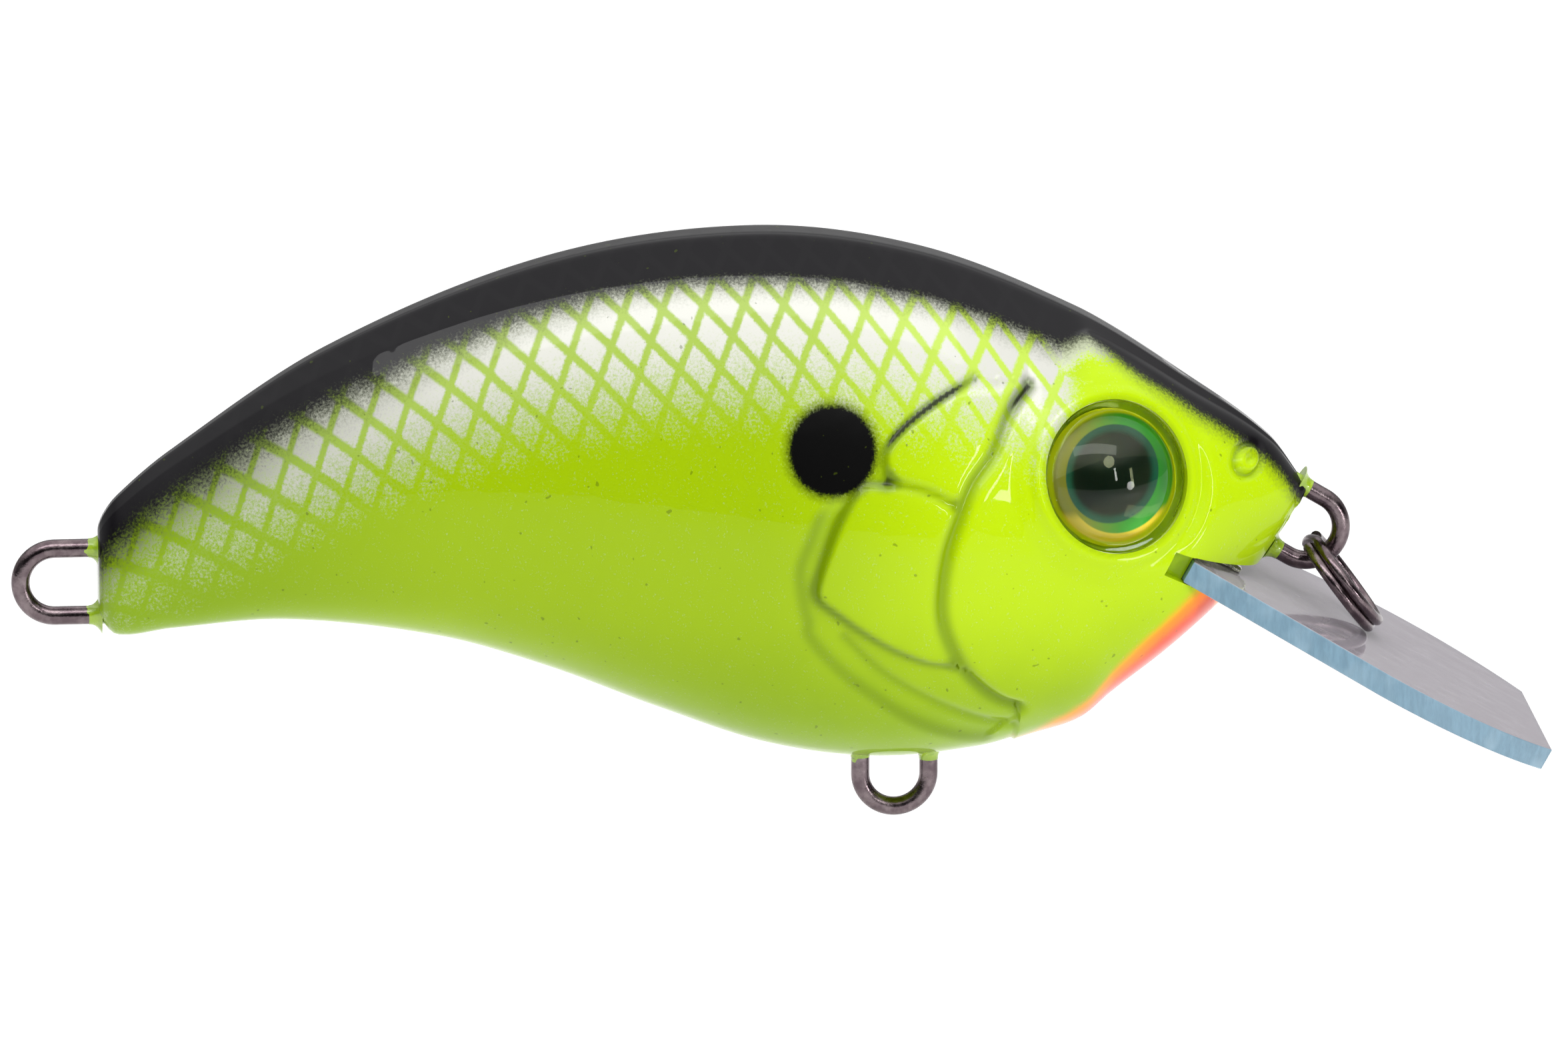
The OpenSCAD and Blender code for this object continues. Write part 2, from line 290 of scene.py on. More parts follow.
def gill_relief(x, z, depth):
    """Height of the moulded gill covers at each point, and how dark each point is painted: airbrush on some
    lines, painted shade in the grooves and the recessed band, and a painted shadow under the covers' edge.
    """
    upper, lower = rounded_path(GILL_UPPER), rounded_path(GILL_LOWER)
    band, cheek = rounded_path(GILL_BAND), rounded_path(CHEEK)
    rear, ahead = np.vstack([upper, lower]), cheek[::-1] + [1.2, 0]
    d_rear, d_cheek, d_band, d_upper = (path_distance(x, z, p) for p in (rear, cheek, band, upper))
    d_ray, d_split = (path_distance(x, z, rounded_path(p)) for p in (GILL_RAY, GILL_SPLIT))
    cover = inside(x, z, np.vstack([rear, ahead]))
    in_band = inside(x, z, np.vstack([band, ahead, [[-23.4, 7.0]]]))
    behind = inside(x, z, np.vstack([cheek, [[-16, -14], [-60, -14], [-60, 14], [-15, 14]]]))
    sd = np.where(cover, d_rear, -d_rear)
    sd_band = np.where(in_band, d_band, -d_band)
    sd_cheek = np.where(behind, -d_cheek, d_cheek)
    fade = smooth_step(10.6, 8.9, z)
    plate = smooth_step(-.2, .2, sd)
    recess = -.62 * smooth_step(-.55, .6, sd_band) * np.exp(-(np.maximum(sd_band, 0) / 2.6) ** 2)
    recess = recess * (1 - plate) * smooth_step(4.6, 3.2, z)
    front = np.exp(-d_cheek / 3.0)
    h = depth * fade * mix(plate + recess, front, smooth_step(-.28, .28, sd_cheek))
    h -= depth * 1.15 * np.exp(-(d_cheek / .36) ** 2) * fade
    h -= depth * .45 * np.exp(-(d_ray / .28) ** 2) + depth * .6 * np.exp(-(d_split / .26) ** 2)
    # painted shadow under the trailing edge of the gill cover
    shadow = np.exp(-((sd + .14) / .36) ** 2) * (x < -17)
    # painted shade in the grooves, rays and recessed band, partly airbrushed paint
    dark = (.55 * np.exp(-((sd_cheek + .12) / .5) ** 2) + .3 * np.exp(-(d_ray / .35) ** 2)
            + .45 * np.exp(-(d_split / .34) ** 2) + .55 * shadow
            + (.42 * np.exp(-((sd_band + .15) / .5) ** 2) + .16 * np.clip(-recess, 0, 1))
            * smooth_step(4.4, 3, z))
    dark = np.minimum(dark, .62)
    # airbrushed black on the upper cover line and the top of the cheek, deepened with painted shade, and a
    # painted shade spot where the lines meet
    dark += (.75 * np.exp(-((sd + .15) / .2) ** 2) * smooth_step(6.2, 7.4, z) * (d_upper < 1)
             * smooth_step(10, 9.2, z))
    dark += .5 * np.exp(-(d_cheek / .26) ** 2) * smooth_step(7.6, 8.8, z)
    dark += .35 * np.exp(-(np.hypot(x + 23.5, z - 4.9) / .55) ** 2)
    return h, np.clip(dark, 0, 1)


def body_grid(cfg):
    """Positions, paint distances and shades of the left half's skin."""
    head_rows = np.arange(0, 30.2, cfg.head_step) / BODY_LEN
    tail_rows = np.linspace(30.2, BODY_LEN, int((BODY_LEN - 30.2) / cfg.tail_step)) / BODY_LEN
    tip = 1 - np.array([.30, .20, .12, .06, .02, 0]) / BODY_LEN
    s = np.unique(np.concatenate([head_rows, tail_rows[tail_rows < tip[0] - .002], tip]))
    s[0] = 0
    columns = section_columns()
    y, z = sections(s, columns)
    x = np.repeat((NOSE_X - s * BODY_LEN)[:, None], len(columns), axis=1)
    for r, dist in ((cfg.tail_round, (1 - s) * BODY_LEN), (.25, s * BODY_LEN)):
        e = (r - np.sqrt(np.maximum(r * r - np.clip(r - dist, 0, r) ** 2, 0)))[:, None]
        mid = (z.max(1) + z.min(1))[:, None] / 2
        half = np.maximum((z.max(1) - z.min(1))[:, None] / 2, .3)
        y *= 1 - np.clip(e / np.maximum(y.max(1)[:, None], .3), 0, .9)
        z = mid + (z - mid) * (1 - np.clip(e / half, 0, .9))
    edge = [i for i, c in enumerate(columns) if c[0] == 1 or (c[0] == 2 and i < 20)]
    for _ in range(2):      # soft radius on the ridge and crease edges
        ys, zs = y.copy(), z.copy()
        for i in edge:
            ys[:, i] = (y[:, i - 1] + 2 * y[:, i] + y[:, i + 1]) / 4
            zs[:, i] = (z[:, i - 1] + 2 * z[:, i] + z[:, i + 1]) / 4
        y, z = ys, zs
    crease = columns.index((2, 0.0))
    run = np.zeros_like(y)
    run[:, 1:] = np.cumsum(np.hypot(np.diff(y, axis=1), np.diff(z, axis=1)), axis=1)
    below = run - run[:, crease:crease + 1]
    keel = run[:, -1:] - run

    gx, gy, gz = (np.gradient(a, axis=0) for a in (x, y, z))
    hx, hy, hz = (np.gradient(a, axis=1) for a in (x, y, z))
    nx, ny, nz = gy * hz - gz * hy, gz * hx - gx * hz, gx * hy - gy * hx
    size = np.sqrt(nx**2 + ny**2 + nz**2) + 1e-9
    flip = np.where(np.median(ny / size) > 0, 1, -1)
    nx, ny, nz = flip * nx / size, flip * ny / size, flip * nz / size

    h, dark = gill_relief(x, z, cfg.gill_depth)
    side = smooth_step(.6, 2.2, y)
    h, dark = h * side, dark * side
    # nostril: a raised disc with a pit, in a shallow dish
    r = np.hypot(x - NOSTRIL[0], z - NOSTRIL[1])
    h += (.26 * smooth_step(.68, .5, r) - .2 * np.exp(-(r / .2) ** 2)
          - .2 * np.exp(-((r - .82) / .2) ** 2)) * (y > .3)
    # painted shadow: a dark ring round the nostril's raised disc
    dark = np.maximum(dark, .5 * np.exp(-((r - .74) / .14) ** 2))
    # scraped prow and slot mouth: rough where the flash was cut away
    for i, j in zip(*np.nonzero((y < 1.3) & (s[:, None] < .11) & (z < 2.6))):
        p = Vector((x[i, j] * 2.6, y[i, j] * 2.6, z[i, j] * .9))
        h[i, j] += cfg.prow_rough * noise.noise(p) * smooth_step(1.3, .7, y[i, j])
    x, y, z = x + nx * h, y + ny * h, z + nz * h

    # bezel: the head swells to a flat rim round the eye
    back = np.array(eye_place(1).inverted())
    lx = back[0, 0] * x + back[0, 1] * y + back[0, 2] * z + back[0, 3]
    ly = back[1, 0] * x + back[1, 1] * y + back[1, 2] * z + back[1, 3]
    lz = back[2, 0] * x + back[2, 1] * y + back[2, 2] * z + back[2, 3]
    er = np.hypot(lx, ly)
    edge_r = LENS_D / 2
    rim = cfg.bezel_low - .3 * smooth_step(edge_r + .45, edge_r + 1.0, er)
    lift = (rim - lz) * (1 - smooth_step(edge_r + .5, cfg.bezel_reach, er)) * (lz > -4.5) * (y > .8)
    axis = np.array(eye_place(1))[:3, 2]
    x, y, z = x + axis[0] * lift, y + axis[1] * lift, z + axis[2] * lift
    # painted shadow: a dark ring in the gap round the lens
    dark = np.maximum(dark, .34 * np.exp(-((er - edge_r - .1) / .25) ** 2))

    y[:, 0] = 0
    y[:, -1] = 0
    y = np.maximum(y, 0)
    along = -x
    reach = mix(8.35, 6.2, smooth_step(.12, .25, s))[:, None]
    stretch = smooth_step(.07, .085, s) * smooth_step(.29, .15, s)
    throat = smooth_step(0, 1, (reach - keel) / 4.5) * stretch[:, None]
    slope = math.radians(BILL_SLOPE)
    over_bill = (x - BILL_ROOT[0]) * math.sin(slope) + (z - BILL_ROOT[2]) * math.cos(slope)
    throat = throat * smooth_step(-.2, -1.4, over_bill)
    return x, y, z, along, below, dark, throat


def flat_ends(a, value=None):
    """Repeats the first and last row, for the cap that closes each end."""
    first, last = a[:1].copy(), a[-1:].copy()
    if value is not None:
        first[:], last[:] = value, value
    return np.vstack([first, a, last])


def grid_mesh(bm, x, y, z, material, layers=(), fields=()):
    """Lays a bmesh grid over rows and columns of points and closes both ends on the parting plane."""
    x, y, z = flat_ends(x), flat_ends(y, 0), flat_ends(z)
    rows, cols = x.shape
    made = bmesh.ops.create_grid(bm, x_segments=cols - 1, y_segments=rows - 1, size=1)["verts"]
    step_c, step_r = 2 / (cols - 1), 2 / (rows - 1)
    where = {}
    for v in made:
        where[v] = (round((v.co.y + 1) / step_r), round((v.co.x + 1) / step_c))
    for v, (i, j) in where.items():
        v.co = (x[i, j], y[i, j], z[i, j])
    fields = [[flat_ends(f) for f in pair] for pair in fields]
    for f in {f for v in made for f in v.link_faces}:
        f.material_index = material
        for loop in f.loops:
            i, j = where[loop.vert]
            for layer, (a, b) in zip(layers, fields):
                loop[layer].uv = (a[i, j], b[i, j])


def half_body(cfg):
    """The left half: outer skin, walls of its cavities, and a parting face that runs on across them."""
    bm = bmesh.new()
    skin, shade = bm.loops.layers.uv.new("skin"), bm.loops.layers.uv.new("shade")
    x, y, z, along, below, dark, throat = body_grid(cfg)
    grid_mesh(bm, x, y, z, 0, (skin, shade), ((along / 100, (below + 10) / 100), (dark, throat)))
    for x0, x1, floor_z in CAVITIES:
        n = max(6, int(abs(x1 - x0) / .8))
        s = (NOSE_X - np.linspace(x0, x1, n)) / BODY_LEN
        cols = section_columns()[::5] + [(3, 1.0)]
        cy, cz = sections(s, cols, WALL, floor_z)
        cx = np.repeat((NOSE_X - s * BODY_LEN)[:, None], len(cols), axis=1)
        grid_mesh(bm, cx, cy, cz, 1)
    bmesh.ops.remove_doubles(bm, verts=bm.verts, dist=2e-4)
    bmesh.ops.dissolve_degenerate(bm, edges=bm.edges, dist=1e-5)
    rim = [e for e in bm.edges if e.is_boundary]
    filled = bmesh.ops.triangle_fill(bm, edges=rim, use_beauty=False, use_dissolve=False, normal=(0, -1, 0))
    for f in only(bmesh.types.BMFace, filled["geom"]):
        f.material_index = 1
    bmesh.ops.recalc_face_normals(bm, faces=bm.faces)
    return bm


def slot_and_pocket(cfg):
    """Cutters: the bill's slot with its wedge mouth, the painted recess behind it, the eye's round pocket."""
    cutters = []
    low, rise = -BILL_T - GAP, (MOUTH_GAP - GAP) / (4 + SLOT_BACK)
    mouth = [(-.03, low), (30, low), (30, MOUTH_GAP), (4, MOUTH_GAP), (-.03, GAP + rise * SLOT_BACK)]
    recess = [(-SLOT_BACK, low), (.2, low), (.2, GAP + rise * SLOT_BACK), (-SLOT_BACK, GAP)]
    for outline, start in ((mouth, -1), (recess, cfg.recess_at)):
        bm = bmesh.new()
        face = bm.faces.new([bm.verts.new(bill_place() @ Vector((px, start, pz))) for px, pz in outline])
        pull_face(bm, face, (0, CUT_FAR, 0))
        cutters.append(bm)
    bm = bmesh.new()
    m = eye_place(1) @ Matrix.Translation((0, 0, -POCKET_DEEP + 3))
    bmesh.ops.create_cone(bm, cap_ends=True, segments=128, radius1=LENS_D / 2 + GAP, radius2=LENS_D / 2 + GAP,
                          depth=6, matrix=m)
    return cutters + [bm]


def build_halves(cfg, materials):
    left = half_body(cfg)
    mesh = bpy.data.meshes.new("half")
    left.to_mesh(mesh)
    left.free()
    rough = bpy.data.objects.new("half", mesh)
    cutters = []
    for cut in slot_and_pocket(cfg):
        bmesh.ops.recalc_face_normals(cut, faces=cut.faces)
        cutter_mesh = bpy.data.meshes.new("cutter")
        cut.to_mesh(cutter_mesh)
        cut.free()
        cutter_mesh.materials.append(materials[0])
        cutters.append(bpy.data.objects.new("cutter", cutter_mesh))
        mod = rough.modifiers.new("cut", "BOOLEAN")
        mod.operation, mod.object, mod.solver = "DIFFERENCE", cutters[-1], "EXACT"
    for mat in materials:
        mesh.materials.append(mat)
    for o in [rough] + cutters:
        bpy.context.scene.collection.objects.link(o)
    done = bpy.data.meshes.new_from_object(rough.evaluated_get(bpy.context.evaluated_depsgraph_get()))
    for o in [rough] + cutters:
        bpy.data.objects.remove(o)
    layer = done.uv_layers["skin"].data
    uv = np.empty(len(layer) * 2, np.float32)
    layer.foreach_get("uv", uv)
    uv = uv.reshape(-1, 2)
    uv[uv[:, 1] < .02] = (.2, .3)       # cut faces and inner walls: plain base colour
    layer.foreach_set("uv", uv.ravel())
    if len(done.polygons) < 1000:
        raise RuntimeError("the slot could not be cut from the body")
    for name, side, node in (("body_skin_left", 1, "body_left"), ("body_skin_right", -1, "body_right")):
        bm = bmesh.new()
        bm.from_mesh(done)
        if side < 0:
            bmesh.ops.scale(bm, vec=(1, -1, 1), verts=bm.verts)
            bmesh.ops.reverse_faces(bm, faces=bm.faces)
        finish_piece(name, bm, materials, "root", (node,), sharp=58)


# ---- bill, glue -----------------------------------------------------------------------------
def bill_outline():
    drop, run = BILL_HALF_W - BILL_TIP_W, BILL_LEN * (1 - BULGE_AT)
    r = (run**2 + drop**2) / (2 * drop)
    edge = []
    for i in range(-8, 33):
        d = BILL_LEN * BULGE_AT + run * i / 32
        edge.append((d, BILL_HALF_W - r + math.sqrt(r**2 - (d - BILL_LEN * BULGE_AT) ** 2)))
    start = [(-TANG_LEN, TANG_W), (-.4, TANG_W), (0, TANG_W + .4), (0, BILL_ROOT_W)]
    right = start + edge
    return right + [(a, -b) for a, b in reversed(right)]


def build_bill(cfg, faces_mat, edge_mat):
    bm = bmesh.new()
    base = bm.faces.new([bm.verts.new((a, b, -BILL_T)) for a, b in bill_outline()])
    pull_face(bm, base, (0, 0, BILL_T))
    bmesh.ops.recalc_face_normals(bm, faces=bm.faces)
    sides = [f for f in bm.faces if abs(f.normal.z) < .5]
    for f in sides:
        f.material_index = 1
    rims = [e for e in bm.edges if len(e.link_faces) == 2
            and abs(abs(e.link_faces[0].normal.z) - abs(e.link_faces[1].normal.z)) > .5]
    bmesh.ops.bevel(bm, geom=rims, offset=cfg.edge_round, segments=2, profile=0.5, affect="EDGES",
                    material=-1)
    bmesh.ops.transform(bm, matrix=bill_place(), verts=bm.verts)
    return finish_piece("bill_plate", bm, (faces_mat, edge_mat), "root", ("bill",), sharp=10)


def build_glue(mat):
    """A bead of clear cement, squeezed out of the slot along the bill's root."""
    bm = bmesh.new()
    bmesh.ops.create_cube(bm, size=1)
    bmesh.ops.subdivide_edges(bm, edges=bm.edges, cuts=9, use_grid_fill=True)
    for v in bm.verts:
        a, b, c = v.co.x + .5, v.co.y, v.co.z + .5
        reach = 3.2 + .6 * noise.noise(Vector((b * 5, 1.7, .3)))
        thick = .2 + .38 * math.sin(math.pi * min(a + .12, 1)) * (1 - .5 * a)
        v.co = (.25 + a * reach, b * 5.4, .012 + c * thick)
    for _ in range(3):
        bmesh.ops.smooth_vert(bm, verts=bm.verts, factor=.5,
                              use_axis_x=True, use_axis_y=True, use_axis_z=True)
    for v in bm.verts:
        v.co.z = max(.012, v.co.z + .07 * noise.noise(v.co * 1.9))
    bmesh.ops.transform(bm, matrix=bill_place(), verts=bm.verts)
    bmesh.ops.recalc_face_normals(bm, faces=bm.faces)
    return finish_piece("bill_cement", bm, (mat,), "root", ("bill_glue",), sharp=60)


# ---- wire ---------------------------------------------------------------------------------------
def sweep(bm, ring, centre, axis, degrees, steps, dvec=(0, 0, 0)):
    """Spins the last ring of edges on and returns the new last ring."""
    out = bmesh.ops.spin(bm, geom=ring, cent=centre, axis=axis, angle=math.radians(degrees), steps=steps,
                         dvec=dvec)
    return out["geom_last"]


def leg(bm, ring, length, steps=8):
    """Carries the last ring of edges on along x and returns the new last ring."""
    for _ in range(steps):
        made = bmesh.ops.extrude_edge_only(bm, edges=only(bmesh.types.BMEdge, ring))["geom"]
        bmesh.ops.translate(bm, vec=(length / steps, 0, 0), verts=only(bmesh.types.BMVert, made))
        ring = only((bmesh.types.BMVert, bmesh.types.BMEdge), made)
    return ring


def build_link(name, node, at, turn, painted_from, mat):
    """A closed wire link: outer bend, two straight legs and the anchor bend inside the body."""
    bm = bmesh.new()
    across = Matrix.Translation((0, EYE_R, 0)) @ Matrix.Rotation(math.pi / 2, 4, "Y")
    start = bmesh.ops.create_circle(bm, segments=28, radius=WIRE_D / 2, matrix=across)
    ring = start["verts"] + list({e for v in start["verts"] for e in v.link_edges})
    ring = sweep(bm, ring, (0, 0, 0), (0, 0, 1), 180, 40)
    ring = leg(bm, ring, LINK_LEN)
    ring = sweep(bm, ring, (LINK_LEN, 0, 0), (0, 0, 1), 180, 24)
    leg(bm, ring, -LINK_LEN)
    bmesh.ops.remove_doubles(bm, verts=bm.verts, dist=1e-3)
    dab = bm.verts.layers.float.new("dab")
    for v in bm.verts:
        v[dab] = float(smooth_step(painted_from - .5, painted_from + .5, v.co.x))
    bmesh.ops.transform(bm, matrix=place(at, (90, "X"), (turn, "Z")), verts=bm.verts)
    bmesh.ops.recalc_face_normals(bm, faces=bm.faces)
    return finish_piece(name, bm, (mat,), "root", (node,), sharp=60)


def build_collars(mat):
    """Lacquer drawn up the wires where they leave the body."""
    bm = bmesh.new()
    rings, around = 7, 32
    for at, turn, surfaces in LINKS:
        matrix = place(at, (90, "X"), (turn, "Z"))
        for side, start in zip((-1, 1), surfaces):
            rows = []
            for i in range(rings):
                t = i / (rings - 1)
                row = []
                for k in range(around):
                    a = 2 * math.pi * k / around
                    lump = noise.noise(Vector((math.cos(a) + turn, math.sin(a) + side, t * .6)))
                    inner = 1 + .9 * max(0, -side * math.cos(a))        # more gathers between the two legs
                    r = WIRE_D / 2 + COLLAR_SKIN + COLLAR_FLARE * t ** 2.4 * (1 + .6 * lump) * inner
                    point = Vector((start + COLLAR_LEN * (t - .5), side * EYE_R + r * math.cos(a),
                                    r * math.sin(a)))
                    row.append(bm.verts.new(matrix @ point))
                rows.append(row)
            for lower, upper in zip(rows, rows[1:]):
                for k in range(around):
                    n = (k + 1) % around
                    bm.faces.new((lower[k], lower[n], upper[n], upper[k]))
            bm.faces.new(rows[0][::-1])
            bm.faces.new(rows[-1])
    bmesh.ops.recalc_face_normals(bm, faces=bm.faces)
    return finish_piece("lacquer_collars", bm, (mat,), "root", (), sharp=60)


def build_ring(mat):
    """Two coils side by side, with a jog between them and both cut ends by the line tie."""
    bm = bmesh.new()
    pitch = RING_WIRE_D * .92
    m = Matrix.Translation((-RING_R, 0, -pitch / 2)) @ Matrix.Rotation(math.pi / 2, 4, "X")
    start = bmesh.ops.create_circle(bm, cap_ends=True, segments=24, radius=RING_WIRE_D / 2, matrix=m)
    ring = start["verts"] + list({e for v in start["verts"] for e in v.link_edges})
    for degrees, steps, rise in ((322, 92, 0), (38, 14, pitch), (322, 92, 0)):
        ring = sweep(bm, ring, (0, 0, 0), (0, 0, 1), degrees, steps, (0, 0, rise / steps))
    bmesh.ops.edgeloop_fill(bm, edges=only(bmesh.types.BMEdge, ring))
    bmesh.ops.remove_doubles(bm, verts=bm.verts, dist=1e-4)
    bmesh.ops.transform(bm, matrix=place(RING_AT, (RING_TURN, "Y"), (12, "Z")), verts=bm.verts)
    bmesh.ops.recalc_face_normals(bm, faces=bm.faces)
    return finish_piece("split_ring_coils", bm, (mat,), "ring", ("split_ring",), sharp=40)


# ---- eyes -----------------------------------------------------------------------------------------
def build_lens(name, node, side, mat):
    bm = bmesh.new()
    dome_r = (DOME_H**2 + (DOME_D / 2) ** 2) / (2 * DOME_H)
    reach = math.asin(DOME_D / 2 / dome_r)
    rim = LENS_D / 2
    profile = [(0, 0), (rim - .06, 0), (rim, .06), (rim, FLANGE_T - .12), (rim - .04, FLANGE_T - .03),
               (rim - .14, FLANGE_T), (DOME_D / 2 + .12, FLANGE_T - .02)]
    for i in range(25):
        a = reach * (1 - i / 24)
        profile.append((dome_r * math.sin(a), FLANGE_T + DOME_H - dome_r + dome_r * math.cos(a)))
    verts = [bm.verts.new((r, 0, h)) for r, h in profile]
    edges = [bm.edges.new(pair) for pair in zip(verts[:-1], verts[1:])]
    bmesh.ops.spin(bm, geom=verts + edges, cent=(0, 0, 0), axis=(0, 0, 1), angle=math.tau, steps=96,
                   use_merge=True)
    bmesh.ops.remove_doubles(bm, verts=bm.verts, dist=1e-4)
    up = eye_place(side) @ Matrix.Translation((0, 0, -POCKET_DEEP + FOIL_T + 2 * GAP))
    bmesh.ops.transform(bm, matrix=up, verts=bm.verts)
    bmesh.ops.recalc_face_normals(bm, faces=bm.faces)
    return finish_piece(name, bm, (mat,), "root", (node,), sharp=50)


def build_foil(name, node, side, mat):
    """The printed disc behind the lens; its UV map holds millimetres forward and up, over 10."""
    bm = bmesh.new()
    uv = bm.loops.layers.uv.new("print")
    bmesh.ops.create_circle(bm, cap_ends=True, segments=96, radius=LENS_D / 2 - .4)
    pull_face(bm, next(iter(bm.faces)), (0, 0, FOIL_T))
    turn = eye_place(1).to_3x3()
    for f in bm.faces:
        for loop in f.loops:
            p = turn @ loop.vert.co
            loop[uv].uv = (.5 + p.x / 10, .5 + p.z / 10)
    seat = eye_place(side) @ Matrix.Translation((0, 0, -POCKET_DEEP + GAP))
    bmesh.ops.transform(bm, matrix=seat, verts=bm.verts)
    bmesh.ops.recalc_face_normals(bm, faces=bm.faces)
    return finish_piece(name, bm, (mat,), "root", (node,), sharp=40)


def build_tube(name, x, z, half, ball_d, mat):
    """A rattle chamber's tube, across the body."""
    bm = bmesh.new()
    r = (ball_d + .3) / 2
    m = Matrix.Translation((x, 0, z)) @ Matrix.Rotation(math.pi / 2, 4, "X")
    bmesh.ops.create_cone(bm, cap_ends=False, segments=64, radius1=r, radius2=r, depth=2 * half, matrix=m)
    bmesh.ops.recalc_face_normals(bm, faces=bm.faces)
    bmesh.ops.solidify(bm, geom=list(bm.faces), thickness=-.7)
    bmesh.ops.recalc_face_normals(bm, faces=bm.faces)
    return finish_piece(name, bm, (mat,), "root", (), sharp=40)


# ---- materials --------------------------------------------------------------------------------------
def scaled(tree, value, low, high, to_low=0.0, to_high=1.0, smooth=True):
    """Maps a value from one range to another, clamped."""
    return add(tree, "MapRange", {"Value": value, "From Min": low, "From Max": high,
                                  "To Min": to_low, "To Max": to_high},
               interpolation_type="SMOOTHSTEP" if smooth else "LINEAR", clamp=True).outputs[0]


def calc(tree, operation, a, b=0.0, c=0.0):
    return add(tree, "Math", {0: a, 1: b, 2: c}, operation=operation).outputs[0]


def blend(tree, fac, a, b):
    """Colour a where fac is 0 and b where it is 1."""
    return add(tree, "Mix", {0: fac, 6: a, 7: b}, data_type="RGBA").outputs[2]


def grain(tree, where, per_mm, detail=2.0, rough=.5):
    """Noise with about per_mm features to the millimetre."""
    return add(tree, "TexNoise", {"Vector": where, "Scale": per_mm / MM, "Detail": detail,
                                  "Roughness": rough}).outputs["Fac"]


